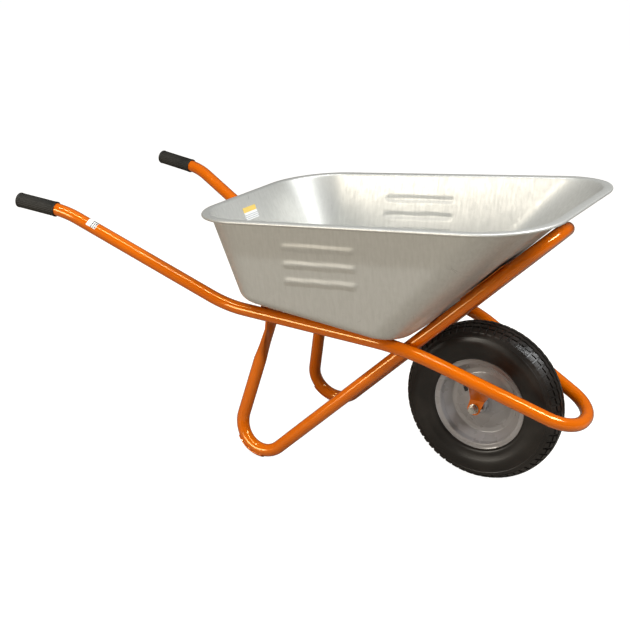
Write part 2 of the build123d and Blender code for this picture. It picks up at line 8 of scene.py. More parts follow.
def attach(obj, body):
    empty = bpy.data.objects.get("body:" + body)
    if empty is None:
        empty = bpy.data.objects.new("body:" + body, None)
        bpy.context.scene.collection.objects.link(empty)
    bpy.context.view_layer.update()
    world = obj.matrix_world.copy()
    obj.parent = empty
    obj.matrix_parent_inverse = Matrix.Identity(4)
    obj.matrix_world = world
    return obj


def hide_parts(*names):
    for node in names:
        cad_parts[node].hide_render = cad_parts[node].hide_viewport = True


# One-wheel barrow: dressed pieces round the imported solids. Shapes are worked in
# millimetres and each finished mesh is brought to metres at the end.
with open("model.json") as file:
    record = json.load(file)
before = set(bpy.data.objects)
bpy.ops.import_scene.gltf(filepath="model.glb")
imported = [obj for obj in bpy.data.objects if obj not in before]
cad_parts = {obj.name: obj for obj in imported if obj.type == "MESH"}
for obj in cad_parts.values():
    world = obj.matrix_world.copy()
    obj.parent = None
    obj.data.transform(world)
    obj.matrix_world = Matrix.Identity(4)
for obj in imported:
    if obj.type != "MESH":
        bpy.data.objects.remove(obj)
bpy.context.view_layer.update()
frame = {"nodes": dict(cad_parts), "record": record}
nodes = frame["nodes"]
bodies = frame["record"]["behaviour"]["bodies"]
millimetre = 0.001
nearSide = -1
farSide = 1
creaseAngle = 32.0   # degrees, above which an edge stays sharp
mergeDistance = 0.001   # millimetres
print("frame loaded:", len(nodes), "nodes")


def vertsOf(found):
    return [g for g in found if isinstance(g, bmesh.types.BMVert)]


def edgesOf(found):
    return [g for g in found if isinstance(g, bmesh.types.BMEdge)]


def onSide(point, side):
    return Vector((point[0], side * abs(point[1]), point[2]))


def slopedAxes(degrees):
    # directions along and square to a plane that climbs forward by this angle
    slope = math.radians(degrees)
    return Vector((math.cos(slope), 0, math.sin(slope))), Vector((-math.sin(slope), 0, math.cos(slope)))


def facing(place, heading):
    # matrix whose Z runs along the heading
    turn = Vector(heading).to_track_quat("Z", "Y").to_matrix().to_4x4()
    return Matrix.Translation(place) @ turn


def finishPiece(bm, name, body, slot, smoothAngle=creaseAngle, scale=millimetre):
    # merges, evens the normals, marks sharp edges and hangs the piece on its body
    bmesh.ops.remove_doubles(bm, verts=bm.verts, dist=mergeDistance * millimetre / scale)
    bmesh.ops.recalc_face_normals(bm, faces=bm.faces)
    bmesh.ops.scale(bm, vec=(scale, scale, scale), verts=bm.verts)
    limit = math.radians(smoothAngle)
    for face in bm.faces:
        face.smooth = True
    for edge in bm.edges:
        edge.smooth = edge.calc_face_angle(math.pi) < limit
    mesh = bpy.data.meshes.new(name)
    bm.to_mesh(mesh)
    bm.free()
    piece = bpy.data.objects.new(name, mesh)
    bpy.context.scene.collection.objects.link(piece)
    mesh.materials.append(materials[slot])
    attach(piece, body)
    return piece


def feed(tree, socket, value):
    # links a socket to another, or sets its constant
    if isinstance(value, bpy.types.NodeSocket):
        tree.links.new(value, socket)
    else:
        socket.default_value = value


def addNode(tree, kind, settings=None, **inputs):
    node = tree.nodes.new(kind)
    for key, value in (settings or {}).items():
        setattr(node, key, value)
    for key, value in inputs.items():
        feed(tree, node.inputs[key.replace("_", " ")], value)
    return node


def newGroup(name, inputs, outputs):
    group = bpy.data.node_groups.new(name, "ShaderNodeTree")
    for label, kind, value in inputs:
        socket = group.interface.new_socket(label, in_out="INPUT", socket_type=kind)
        if value is not None:
            socket.default_value = value
    for label, kind in outputs:
        group.interface.new_socket(label, in_out="OUTPUT", socket_type=kind)
    entry = group.nodes.new("NodeGroupInput")
    leave = group.nodes.new("NodeGroupOutput")
    return group, entry.outputs, leave.inputs


def placeGroup(tree, group, **inputs):
    return addNode(tree, "ShaderNodeGroup", {"node_tree": group}, **inputs)


def mapValue(tree, value, low, high, toLow, toHigh):
    node = addNode(tree, "ShaderNodeMapRange", Value=value, From_Min=low, From_Max=high, To_Min=toLow,
                   To_Max=toHigh)
    return node.outputs["Result"]


def mixColours(tree, mask, low, high):
    node = addNode(tree, "ShaderNodeMix", {"data_type": "RGBA"})
    for place, value in ((0, mask), (6, low), (7, high)):   # the node's colour sockets are 6 and 7
        feed(tree, node.inputs[place], value)
    return node.outputs[2]


def maths(tree, operation, first, second=0.0):
    node = addNode(tree, "ShaderNodeMath", {"operation": operation})
    feed(tree, node.inputs[0], first)
    feed(tree, node.inputs[1], second)
    return node.outputs[0]


def darkened(colour, share):
    return tuple(share * channel for channel in colour[:3]) + (1.0,)


def newMaterial(name, **shaderValues):
    material = bpy.data.materials.new(name)
    material.use_nodes = True
    tree = material.node_tree
    shader = tree.nodes["Principled BSDF"]
    for key, value in shaderValues.items():
        shader.inputs[key.replace("_", " ")].default_value = value
    place = addNode(tree, "ShaderNodeTexCoord").outputs["Object"]
    return material, tree, shader, place


def linkColour(tree, shader, mask, low, high):
    tree.links.new(mixColours(tree, mask, low, high), shader.inputs["Base Color"])


def linkRoughness(tree, shader, mask, roughness, fullMask=1.0):
    tree.links.new(mapValue(tree, mask, 0.0, fullMask, *roughness), shader.inputs["Roughness"])


def linkBump(tree, shader, height, strength, distance):
    bump = addNode(tree, "ShaderNodeBump", Height=height, Strength=strength, Distance=distance)
    tree.links.new(bump.outputs["Normal"], shader.inputs["Normal"])


# soft even noise, as a mask between two chosen levels
grainGroup, grainIn, grainOut = newGroup(
    "softGrain",
    [("Vector", "NodeSocketVector", None), ("Scale", "NodeSocketFloat", 200.0),
     ("Detail", "NodeSocketFloat", 3.0), ("Low", "NodeSocketFloat", 0.35), ("High", "NodeSocketFloat", 0.65)],
    [("Mask", "NodeSocketFloat")])
grainNoise = addNode(grainGroup, "ShaderNodeTexNoise", Vector=grainIn["Vector"],
                     Scale=grainIn["Scale"], Detail=grainIn["Detail"])
grainMask = mapValue(grainGroup, grainNoise.outputs["Fac"], grainIn["Low"], grainIn["High"], 0.0, 1.0)
grainGroup.links.new(grainMask, grainOut["Mask"])

# noise drawn out along one direction, for the marks of rolling
streakGroup, streakIn, streakOut = newGroup(
    "drawnStreaks",
    [("Vector", "NodeSocketVector", None), ("Stretch", "NodeSocketVector", None),
     ("Detail", "NodeSocketFloat", 4.0), ("Low", "NodeSocketFloat", 0.35), ("High", "NodeSocketFloat", 0.65)],
    [("Mask", "NodeSocketFloat")])
streakVector = addNode(streakGroup, "ShaderNodeVectorMath", {"operation": "MULTIPLY"})
streakGroup.links.new(streakIn["Vector"], streakVector.inputs[0])
streakGroup.links.new(streakIn["Stretch"], streakVector.inputs[1])
streakNoise = addNode(streakGroup, "ShaderNodeTexNoise", Vector=streakVector.outputs[0],
                      Scale=1.0, Detail=streakIn["Detail"])
streakMask = mapValue(streakGroup, streakNoise.outputs["Fac"], streakIn["Low"], streakIn["High"], 0.0, 1.0)
streakGroup.links.new(streakMask, streakOut["Mask"])

# thin scattered scuffs, from the borders of cells
scuffFull = 0.75   # patch noise above which the scuffs are whole
scuffGroup, scuffIn, scuffOut = newGroup(
    "fineScuffs",
    [("Vector", "NodeSocketVector", None), ("Scale", "NodeSocketFloat", 30.0),
     ("Width", "NodeSocketFloat", 0.02), ("Share", "NodeSocketFloat", 0.6)],
    [("Mask", "NodeSocketFloat")])
scuffCells = addNode(scuffGroup, "ShaderNodeTexVoronoi", {"feature": "DISTANCE_TO_EDGE"},
                     Vector=scuffIn["Vector"], Scale=scuffIn["Scale"])
scuffLines = mapValue(scuffGroup, scuffCells.outputs["Distance"], 0.0, scuffIn["Width"], 1.0, 0.0)
scuffPatch = addNode(scuffGroup, "ShaderNodeTexNoise", Vector=scuffIn["Vector"], Scale=scuffIn["Scale"])
scuffGate = mapValue(scuffGroup, scuffPatch.outputs["Fac"], scuffIn["Share"], scuffFull, 0.0, 1.0)
scuffGroup.links.new(maths(scuffGroup, "MULTIPLY", scuffLines, scuffGate), scuffOut["Mask"])
print("shader groups built")


coatLook = {
    "colour": (0.61, 0.116, 0.0, 1.0),
    "deepColour": (0.57, 0.104, 0.0, 1.0),
    "edgeColour": (0.17, 0.034, 0.0, 1.0),   # painted shade: darker colour where the surface turns away, for the dark silhouette edges
    "edgeFrom": 0.55,
    "roughness": (0.12, 0.17),
    "specular": 0.85,
    "specularTint": (1.0, 0.66, 0.20, 1.0),
    "coat": 0.35,
    "coatRoughness": 0.03,
    "cloudScale": 9.0,
    "hazeScale": 60.0,
    "peelScale": 420.0,
    "peelStrength": 0.08,
    "peelDepth": 0.00004,
}


def makeCoat():
    look = coatLook
    material, tree, shader, place = newMaterial(
        "glossyOrangeCoat", Specular_IOR_Level=look["specular"], Coat_Weight=look["coat"],
        Specular_Tint=look["specularTint"], Coat_Roughness=look["coatRoughness"])
    cloud = placeGroup(tree, grainGroup, Vector=place, Scale=look["cloudScale"], Detail=2.0)
    base = mixColours(tree, cloud.outputs["Mask"], look["colour"], look["deepColour"])
    # painted shade: the base colour darkens towards the silhouettes, where the surface turns away from the
    # camera
    turned = addNode(tree, "ShaderNodeLayerWeight", Blend=0.5).outputs["Facing"]
    edge = mapValue(tree, turned, look["edgeFrom"], 1.0, 0.0, 1.0)
    linkColour(tree, shader, edge, base, look["edgeColour"])
    haze = placeGroup(tree, grainGroup, Vector=place, Scale=look["hazeScale"], Detail=4.0)
    linkRoughness(tree, shader, haze.outputs["Mask"], look["roughness"])
    peel = placeGroup(tree, grainGroup, Vector=place, Scale=look["peelScale"], Detail=1.0, Low=0.2, High=0.8)
    linkBump(tree, shader, peel.outputs["Mask"], look["peelStrength"], look["peelDepth"])
    return material


sheetLook = {
    "colour": (0.555, 0.55, 0.52, 1.0),
    "darkColour": (0.47, 0.465, 0.435, 1.0),
    "scuffColour": (0.30, 0.29, 0.27, 1.0),
    "metallic": 0.5,
    "roughness": (0.36, 0.50),
    "roughestTone": 0.8,
    "streaks": (160.0, 160.0, 3.0),
    "streakShare": 0.55,
    "streakStrength": 0.12,
    "streakDepth": 0.0002,
    "spangleScale": 90.0,
    "spangleShare": 0.22,
    "scuffScale": 24.0,
    "scuffWidth": 0.012,
    "scuffShare": 0.66,
}


def makeSheet():
    look = sheetLook
    material, tree, shader, place = newMaterial("galvanisedSheet", Metallic=look["metallic"])
    rolled = placeGroup(tree, streakGroup, Vector=place, Stretch=look["streaks"], Low=0.3, High=0.7)
    spangle = addNode(tree, "ShaderNodeTexVoronoi", Vector=place, Scale=look["spangleScale"])
    flakes = addNode(tree, "ShaderNodeSeparateColor", Color=spangle.outputs["Color"])
    faint = maths(tree, "MULTIPLY", flakes.outputs["Red"], look["spangleShare"])
    tone = maths(tree, "ADD", maths(tree, "MULTIPLY", rolled.outputs["Mask"], look["streakShare"]), faint)
    base = mixColours(tree, tone, look["colour"], look["darkColour"])
    scuffs = placeGroup(tree, scuffGroup, Vector=place, Scale=look["scuffScale"], Width=look["scuffWidth"],
                        Share=look["scuffShare"])
    linkColour(tree, shader, scuffs.outputs["Mask"], base, look["scuffColour"])
    linkRoughness(tree, shader, tone, look["roughness"], look["roughestTone"])
    linkBump(tree, shader, rolled.outputs["Mask"], look["streakStrength"], look["streakDepth"])
    return material


zincLook = {
    "colour": (0.62, 0.61, 0.57, 1.0),
    "shadeColour": (0.40, 0.39, 0.36, 1.0),
    "roughness": (0.22, 0.38),
    "mottleScale": 160.0,
}


def makeZinc():
    look = zincLook
    material, tree, shader, place = newMaterial("zincPlate", Metallic=1.0)
    mottle = placeGroup(tree, grainGroup, Vector=place, Scale=look["mottleScale"], Detail=4.0)
    linkColour(tree, shader, mottle.outputs["Mask"], look["colour"], look["shadeColour"])
    linkRoughness(tree, shader, mottle.outputs["Mask"], look["roughness"])
    return material


steelLooks = {
    "groundSteel": {"colour": (0.62, 0.62, 0.63, 1.0), "roughness": (0.12, 0.24), "grainScale": 300.0},
    "pressedSteel": {"colour": (0.50, 0.49, 0.46, 1.0), "roughness": (0.3, 0.45), "grainScale": 220.0},
    "valveChrome": {"colour": (0.80, 0.80, 0.80, 1.0), "roughness": (0.06, 0.16), "grainScale": 400.0},
}
steelShade = 0.72   # the darker grain, against the colour


def makeSteel(name):
    look = steelLooks[name]
    material, tree, shader, place = newMaterial(name, Metallic=1.0)
    brushed = placeGroup(tree, grainGroup, Vector=place, Scale=look["grainScale"], Detail=5.0)
    linkColour(tree, shader, brushed.outputs["Mask"], look["colour"], darkened(look["colour"], steelShade))
    linkRoughness(tree, shader, brushed.outputs["Mask"], look["roughness"])
    return material


rimLook = {
    "colour": (0.245, 0.232, 0.230, 1.0),
    "paleColour": (0.262, 0.248, 0.246, 1.0),
    "roughness": (0.26, 0.30),
    "coat": 0.8,
    "coatRoughness": 0.05,
    "cloudScale": 22.0,
    "peelScale": 500.0,
    "peelStrength": 0.25,
    "peelDepth": 0.0001,
}


def makeRimPaint():
    look = rimLook
    material, tree, shader, place = newMaterial("greyRimPaint", Coat_Weight=look["coat"],
                                                Coat_Roughness=look["coatRoughness"])
    cloud = placeGroup(tree, grainGroup, Vector=place, Scale=look["cloudScale"], Detail=3.0)
    linkColour(tree, shader, cloud.outputs["Mask"], look["colour"], look["paleColour"])
    linkRoughness(tree, shader, cloud.outputs["Mask"], look["roughness"])
    peel = placeGroup(tree, grainGroup, Vector=place, Scale=look["peelScale"], Detail=1.0, Low=0.2, High=0.8)
    linkBump(tree, shader, peel.outputs["Mask"], look["peelStrength"], look["peelDepth"])
    return material


rubberLooks = {
    "tyreRubber": {"colour": (0.0110, 0.0090, 0.0075, 1.0), "dustColour": (0.021, 0.017, 0.014, 1.0),
                   "roughness": (0.30, 0.42), "grainScale": 900.0, "grainDepth": 0.0001},
    "tubeRubber": {"colour": (0.0110, 0.0090, 0.0075, 1.0), "dustColour": (0.021, 0.017, 0.014, 1.0),
                   "roughness": (0.30, 0.42), "grainScale": 500.0, "grainDepth": 0.00005},
    "gripRubber": {"colour": (0.011, 0.010, 0.008, 1.0), "dustColour": (0.022, 0.020, 0.016, 1.0),
                   "roughness": (0.50, 0.62), "grainScale": 1400.0, "grainDepth": 0.00012},
}
rubberSurface = {"specular": 0.3, "bloomScale": 14.0, "grainStrength": 0.3}


def makeRubber(name):
    look = rubberLooks[name]
    material, tree, shader, place = newMaterial(name, Specular_IOR_Level=rubberSurface["specular"])
    bloom = placeGroup(tree, grainGroup, Vector=place, Scale=rubberSurface["bloomScale"], Detail=5.0,
                       Low=0.42, High=0.72)
    linkColour(tree, shader, bloom.outputs["Mask"], look["colour"], look["dustColour"])
    linkRoughness(tree, shader, bloom.outputs["Mask"], look["roughness"])
    fine = placeGroup(tree, grainGroup, Vector=place, Scale=look["grainScale"], Detail=3.0, Low=0.2, High=0.8)
    linkBump(tree, shader, fine.outputs["Mask"], rubberSurface["grainStrength"], look["grainDepth"])
    return material


capLook = {"colour": (0.012, 0.012, 0.012, 1.0), "shade": 0.8, "roughness": (0.35, 0.47), "speckScale": 300.0}


def makeCap():
    look = capLook
    material, tree, shader, place = newMaterial("capPlastic")
    speck = placeGroup(tree, grainGroup, Vector=place, Scale=look["speckScale"], Detail=3.0)
    linkColour(tree, shader, speck.outputs["Mask"], look["colour"], darkened(look["colour"], look["shade"]))
    linkRoughness(tree, shader, speck.outputs["Mask"], look["roughness"])
    return material


handleLabelLook = {
    "along": (0.8848, 0.1989, -0.4213),   # the handle's own direction there, on the right side
    "blocksFrom": -0.7335,                # metres along that direction, where the dark blocks begin
    "blockPitch": 0.0050,
    "gapShare": 0.45,
    "filmColour": (0.78, 0.78, 0.75, 1.0),
    "inkColour": (0.03, 0.03, 0.03, 1.0),
    "roughness": (0.3, 0.4),
    "smudgeScale": 260.0,
}


def makeHandleLabel():
    # white film with rows of plain dark blocks on its forward half
    look = handleLabelLook
    material, tree, shader, place = newMaterial("handleLabelFilm")
    along = addNode(tree, "ShaderNodeVectorMath", {"operation": "DOT_PRODUCT"})
    tree.links.new(place, along.inputs[0])
    along.inputs[1].default_value = look["along"]
    steps = maths(tree, "DIVIDE", along.outputs["Value"], look["blockPitch"])
    bars = maths(tree, "GREATER_THAN", maths(tree, "FRACT", steps), look["gapShare"])
    begun = maths(tree, "GREATER_THAN", along.outputs["Value"], look["blocksFrom"])
    blocks = maths(tree, "MULTIPLY", bars, begun)
    smudge = placeGroup(tree, grainGroup, Vector=place, Scale=look["smudgeScale"], Detail=2.0,
                        Low=0.38, High=0.42)
    ink = maths(tree, "MULTIPLY", blocks, smudge.outputs["Mask"])
    linkColour(tree, shader, ink, look["filmColour"], look["inkColour"])
    linkRoughness(tree, shader, smudge.outputs["Mask"], look["roughness"])
    return material


trayLabelLook = {
    "bandFrom": 0.581,   # metres above the ground
    "bandGap": 0.004,
    "linePitch": 0.0042,
    "gapShare": 0.62,
    "bandColour": (0.66, 0.47, 0.12, 1.0),
    "fieldColour": (0.68, 0.68, 0.66, 1.0),
    "lineColour": (0.34, 0.34, 0.35, 1.0),
    "roughness": (0.28, 0.4),
    "filmScale": 90.0,
}


def makeTrayLabel():
    # yellow band over a white field with thin grey lines
    look = trayLabelLook
    material, tree, shader, place = newMaterial("trayLabelFilm")
    height = addNode(tree, "ShaderNodeSeparateXYZ", Vector=place).outputs["Z"]
    band = maths(tree, "GREATER_THAN", height, look["bandFrom"])
    rows = maths(tree, "FRACT", maths(tree, "DIVIDE", height, look["linePitch"]))
    lines = maths(tree, "MULTIPLY", maths(tree, "GREATER_THAN", rows, look["gapShare"]),
                  maths(tree, "LESS_THAN", height, look["bandFrom"] - look["bandGap"]))
    field = mixColours(tree, lines, look["fieldColour"], look["lineColour"])
    linkColour(tree, shader, band, field, look["bandColour"])
    film = placeGroup(tree, grainGroup, Vector=place, Scale=look["filmScale"], Detail=2.0)
    linkRoughness(tree, shader, film.outputs["Mask"], look["roughness"])
    return material


materials = {
    "orange_powder_coat": makeCoat(),
    "galvanised_sheet": makeSheet(),
    "zinc_plate": makeZinc(),
    "bearing_steel": makeSteel("groundSteel"),
    "cage_steel": makeSteel("pressedSteel"),
    "rim_paint": makeRimPaint(),
    "tyre_rubber": makeRubber("tyreRubber"),
    "tube_rubber": makeRubber("tubeRubber"),
    "valve_chrome": makeSteel("valveChrome"),
    "cap_plastic": makeCap(),
    "grip_rubber": makeRubber("gripRubber"),
    "label_white": makeHandleLabel(),
    "label_yellow": makeTrayLabel(),
}
print("materials built:", len(materials))


def extrudeRing(bm, ring, travel):
    # carries an open ring of edges on by a straight run
    grown = bmesh.ops.extrude_edge_only(bm, edges=ring)["geom"]
    bmesh.ops.translate(bm, vec=travel, verts=vertsOf(grown))
    return edgesOf(grown)


def ringOnly(ring, previous):
    # edges of the new end ring, without the rungs that lead to it
    old = {v for edge in previous for v in edge.verts}
    return [edge for edge in ring if not (edge.verts[0] in old or edge.verts[1] in old)]


def bentTube(bm, corners, bendRadii, tubeRadius, sides, stepDegrees):
    # a ring of edges that runs straight between the bends and is spun round each bend
    heading = (corners[1] - corners[0]).normalized()
    made = bmesh.ops.create_circle(bm, cap_ends=False, radius=tubeRadius, segments=sides,
                                   matrix=facing(corners[0], heading))
    first = list({edge for v in made["verts"] for edge in v.link_edges})
    ring = first
    place = corners[0]
    for corner, following, bendRadius in zip(corners[1:], corners[2:], bendRadii):
        nextHeading = (following - corner).normalized()
        turn = heading.angle(nextHeading)
        cut = bendRadius * math.tan(turn / 2)
        bendStart = corner - heading * cut
        ring = ringOnly(extrudeRing(bm, ring, bendStart - place), ring)
        axis = heading.cross(nextHeading).normalized()
        steps = max(2, round(math.degrees(turn) / stepDegrees))
        spun = bmesh.ops.spin(bm, geom=ring, cent=bendStart + axis.cross(heading) * bendRadius, axis=axis,
                              dvec=(0, 0, 0), angle=turn, steps=steps, use_duplicate=False)
        ring = edgesOf(spun["geom_last"])
        place = corner + nextHeading * cut
        heading = nextHeading
    last = ringOnly(extrudeRing(bm, ring, corners[-1] - place), ring)
    return first, last


tubeShape = {
    "radius": 16.0,
    "sides": 36,
    "stepDegrees": 2.0,
    "handleEnd": (-714.0, 298.4, 598.1),
    "handleBend": (-573.2, 284.2, 583.2),
    "trayBend": (-154.2, 190.0, 383.7),
    "frontBend": (329.3, 177.0, 363.0),
    "loopCorner": (705.2, 70.05, 203.6),
    "bendRadii": (200.0, 220.0, 380.0, 86.0),
}


def makeMainTube():
    names = ("handleEnd", "handleBend", "trayBend", "frontBend", "loopCorner")
    near = [onSide(tubeShape[name], nearSide) for name in names]
    far = [onSide(tubeShape[name], farSide) for name in reversed(names)]
    radii = tubeShape["bendRadii"]
    bm = bmesh.new()
    first, last = bentTube(bm, near + far, radii + radii[::-1], tubeShape["radius"], tubeShape["sides"],
                           tubeShape["stepDegrees"])
    bmesh.ops.holes_fill(bm, edges=first + last, sides=0)
    piece = finishPiece(bm, "mainTube", "chassis", "orange_powder_coat")
    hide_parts("main_tube")


trayFloor = {"height": 407.4, "slope": -5.0}   # the plane of its underside
legShape = {
    "roundTop": (-85.4, 148.5, 243.3),
    "footCorner": (-167.0, 218.1, -120.0),
    "knee": (355.4, 135.0, 385.9),
    "bowApex": (939.5, 0.0, 951.7),
    "footRadius": 67.9,
    "kneeRadius": 391.0,
    "bowRadius": 86.3,
    "bladeHalf": 132.0,
    "bladeWidth": 46.0,
    "bladeThickness": 6.0,
    "bladeBottom": 86.0,
    "bladeTop": 12.0,
    "bladeSteps": 9,
    "bladeGain": 2.2,   # how soon the round wall meets the flat face
    "crossX": -60.9,
}


def onTrayFloor(x, y, z):
    # a place given from the tray floor's own sloping plane
    ahead, up = slopedAxes(trayFloor["slope"])
    return Vector((0.0, 0.0, trayFloor["height"])) + ahead * x + Vector((0, y, 0)) + up * z


def flattenLeg(bm, ring, side):
    # eases the round end of the leg into the flat blade, then runs the blade up to its top
    blade = legShape
    halfWide = blade["bladeWidth"] / 2
    halfThick = blade["bladeThickness"] / 2
    tubeRadius = tubeShape["radius"]
    start = onSide(blade["roundTop"], side)
    seat, top = (onTrayFloor(blade["crossX"] + halfThick, side * blade["bladeHalf"], -blade[key])
                 for key in ("bladeBottom", "bladeTop"))
    upward = (start - onSide(blade["footCorner"], side)).normalized()
    finalUp = (top - seat).normalized()
    across = Vector((0, 1, 0))
    startDepth = across.cross(upward).normalized()
    startWide = upward.cross(startDepth)
    spread = {}   # each vert's place in the round section, across and through
    for v in {v for edge in ring for v in edge.verts}:
        offset = v.co - start
        spread[v] = (offset.dot(startWide), offset.dot(startDepth))
    for step in range(1, blade["bladeSteps"] + 2):
        share = min(1.0, step / blade["bladeSteps"])
        centre = start.lerp(seat, share) if step <= blade["bladeSteps"] else top
        up = upward.lerp(finalUp, share).normalized()
        depth = across.cross(up).normalized()
        wide = up.cross(depth)
        grown = bmesh.ops.extrude_edge_only(bm, edges=ring)["geom"]
        fresh = {}
        for v in vertsOf(grown):
            below = next(edge.other_vert(v) for edge in v.link_edges if edge.other_vert(v) in spread)
            fresh[v] = spread[below]
        flatSide = halfWide - halfThick
        for v, (w, d) in fresh.items():
            flatW = max(-flatSide, min(flatSide, w * halfWide / tubeRadius)) + halfThick * w / tubeRadius
            flatD = halfThick * max(-1.0, min(1.0, d / tubeRadius * blade["bladeGain"]))
            v.co = centre + wide * (w + (flatW - w) * share) + depth * (d + (flatD - d) * share)
        ring = ringOnly(edgesOf(grown), ring)
        spread = fresh
    return ring


def makeLegTube():
    shape = legShape
    names = ("roundTop", "footCorner", "knee")
    near = [onSide(shape[name], nearSide) for name in names]
    far = [onSide(shape[name], farSide) for name in reversed(names)]
    radii = (shape["footRadius"], shape["kneeRadius"], shape["bowRadius"], shape["kneeRadius"],
             shape["footRadius"])
    bm = bmesh.new()
    first, last = bentTube(bm, near + [Vector(shape["bowApex"])] + far, radii, tubeShape["radius"],
                           tubeShape["sides"], tubeShape["stepDegrees"])
    tops = flattenLeg(bm, first, nearSide) + flattenLeg(bm, last, farSide)
    bmesh.ops.holes_fill(bm, edges=tops, sides=0)
    piece = finishPiece(bm, "legTube", "chassis", "orange_powder_coat")
    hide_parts("leg_tube")


makeMainTube()
makeLegTube()
print("tubes bent")


trayShape = {
    "floorRear": -113.1, "floorFront": 320.2, "floorRearHalf": 230.0, "floorFrontHalf": 222.0,
    "floorRearRadius": 66.0, "floorFrontRadius": 72.0,
    "floorHeight": trayFloor["height"], "floorSlope": trayFloor["slope"],
    "floorFillet": 33.0, "filletSteps": 7,
    "rimRear": -231.9, "rimFront": 677.6, "rimRearHalf": 287.6, "rimFrontHalf": 305.8,
    "rimRearRadius": 154.0, "rimFrontRadius": 161.0, "rimHeight": 640.6, "rimSlope": 6.0,
    "flange": 21.0, "flangeFillet": 3.5, "flangeSteps": 3,
    "roll": 4.0, "rollFrom": 90.0, "rollTurn": 270.0, "rollSteps": 9,
    "sheet": 1.0,
    "cornerSteps": 18, "sideCuts": 84, "endCuts": 24, "wallRows": 44,
    "rungLength": 120.0, "rungRise": 100.0,   # edges longer and steeper than this run up the walls
    "smoothAngle": 50.0,
}
frontSwell = {
    # the front wall stands out a little above the floor
    "outward": (0.701, 0.0, -0.7135), "footHeight": 379.5, "rise": 100.0, "depth": 5.5, "reach": 8.0,
}
swageShape = {
    "middleX": 142.0, "length": 196.0, "width": 17.0, "depth": 2.4,
    "heights": (507.0, 550.0, 593.0), "edge": 5.0, "lean": 6.0, "wallFrom": 200.0,
}


def outlineLoop(bm, kind, inset, drop):
    # a rounded four-sided loop: a face whose corners are rounded, kept as its edges
    shape = trayShape
    ahead, up = slopedAxes(shape[kind + "Slope"])
    base = Vector((0, 0, shape[kind + "Height"])) - up * drop
    rearX, frontX = shape[kind + "Rear"] + inset, shape[kind + "Front"] - inset
    rearHalf, frontHalf = shape[kind + "RearHalf"] - inset, shape[kind + "FrontHalf"] - inset
    flat = ((rearX, -rearHalf), (frontX, -frontHalf), (frontX, frontHalf), (rearX, rearHalf))
    known = set(bm.edges)
    corners = [bm.verts.new(base + ahead * x + Vector((0, y, 0))) for x, y in flat]
    bm.faces.new(corners)
    for pair, end in (([corners[0], corners[3]], "Rear"), (corners[1:3], "Front")):
        bmesh.ops.bevel(bm, geom=pair, affect="VERTICES", offset=shape[kind + end + "Radius"] - inset,
                        segments=shape["cornerSteps"], profile=0.5, material=-1)
    loop = [edge for edge in bm.edges if edge not in known]
    bmesh.ops.delete(bm, geom=[face for face in bm.faces if face.edges[0] in loop], context="FACES_ONLY")
    long = sorted(loop, key=lambda edge: -edge.calc_length())[:4]
    sides = [edge for edge in long if abs(edge.verts[0].co.y + edge.verts[1].co.y) > rearHalf]
    ends = [edge for edge in long if edge not in sides]
    bmesh.ops.subdivide_edges(bm, edges=sides, cuts=shape["sideCuts"])
    bmesh.ops.subdivide_edges(bm, edges=ends, cuts=shape["endCuts"])
    return [edge for edge in bm.edges if edge not in known]


def swageRise(x, z):
    # 0 to 1: how far the pressed bead at this place stands out
    shape = swageShape
    best = 0.0
    for height in shape["heights"]:
        level = height + (x - shape["middleX"]) * math.tan(math.radians(shape["lean"]))
        half = shape["length"] / 2 - shape["width"] / 2
        run = max(0.0, abs(x - shape["middleX"]) - half)
        distance = math.hypot(run, z - level)
        share = (shape["width"] / 2 - distance) / shape["edge"]
        share = max(0.0, min(1.0, share))
        best = max(best, share * share * (3 - 2 * share))
    return best


def pressSwages(bm):
    shape = swageShape
    for v in bm.verts:
        side = nearSide if v.co.y < 0 else farSide
        if abs(v.co.y) > shape["wallFrom"]:
            v.co.y += side * shape["depth"] * swageRise(v.co.x, v.co.z)


def swellFront(bm):
    shape = frontSwell
    outward = Vector(shape["outward"])
    foot = Vector((trayShape["floorFront"], 0.0, shape["footHeight"]))
    for v in bm.verts:
        level = (v.co.z - foot.z) / shape["rise"]
        if 0.0 < level < 1.0 and abs((v.co - foot).dot(outward)) < shape["reach"]:
            v.co += outward * shape["depth"] * math.sin(math.pi * level) ** 2


def makeTray():
    # the outer face is drawn, and the sheet's thickness then goes inwards
    shape = trayShape
    bm = bmesh.new()
    floorLoop = outlineLoop(bm, "floor", 0.0, 0.0)
    places = [(shape["flange"], shape["sheet"])]
    inner = shape["roll"] - shape["sheet"]
    for step in range(shape["rollSteps"]):
        angle = math.radians(shape["rollFrom"] - shape["rollTurn"] * step / (shape["rollSteps"] - 1))
        places.append((shape["roll"] - inner * math.cos(angle), shape["roll"] - inner * math.sin(angle)))
    loops = [floorLoop] + [outlineLoop(bm, "rim", inset, drop) for inset, drop in places]
    for lower, upper in zip(loops, loops[1:]):
        bmesh.ops.bridge_loops(bm, edges=lower + upper)
    bmesh.ops.holes_fill(bm, edges=floorLoop, sides=0)
    bmesh.ops.bevel(bm, geom=floorLoop, affect="EDGES", offset_type="WIDTH", offset=shape["floorFillet"],
                    segments=shape["filletSteps"], profile=0.5, material=-1)
    bmesh.ops.bevel(bm, geom=loops[1], affect="EDGES", offset_type="OFFSET", offset=shape["flangeFillet"],
                    segments=shape["flangeSteps"], profile=0.5, material=-1)
    rungs = [edge for edge in bm.edges if edge.calc_length() > shape["rungLength"]
             and abs(edge.verts[0].co.z - edge.verts[1].co.z) > shape["rungRise"]]
    bmesh.ops.subdivide_edges(bm, edges=rungs, cuts=shape["wallRows"], use_grid_fill=True)
    print("tray walls:", len(bm.faces), "faces")
    pressSwages(bm)
    swellFront(bm)
    piece = finishPiece(bm, "pressedTray", "chassis", "galvanised_sheet", shape["smoothAngle"])
    thickness = piece.modifiers.new("sheetThickness", "SOLIDIFY")
    thickness.thickness = shape["sheet"] * millimetre
    thickness.offset = 1.0
    thickness.use_even_offset = True
    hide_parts("tray")


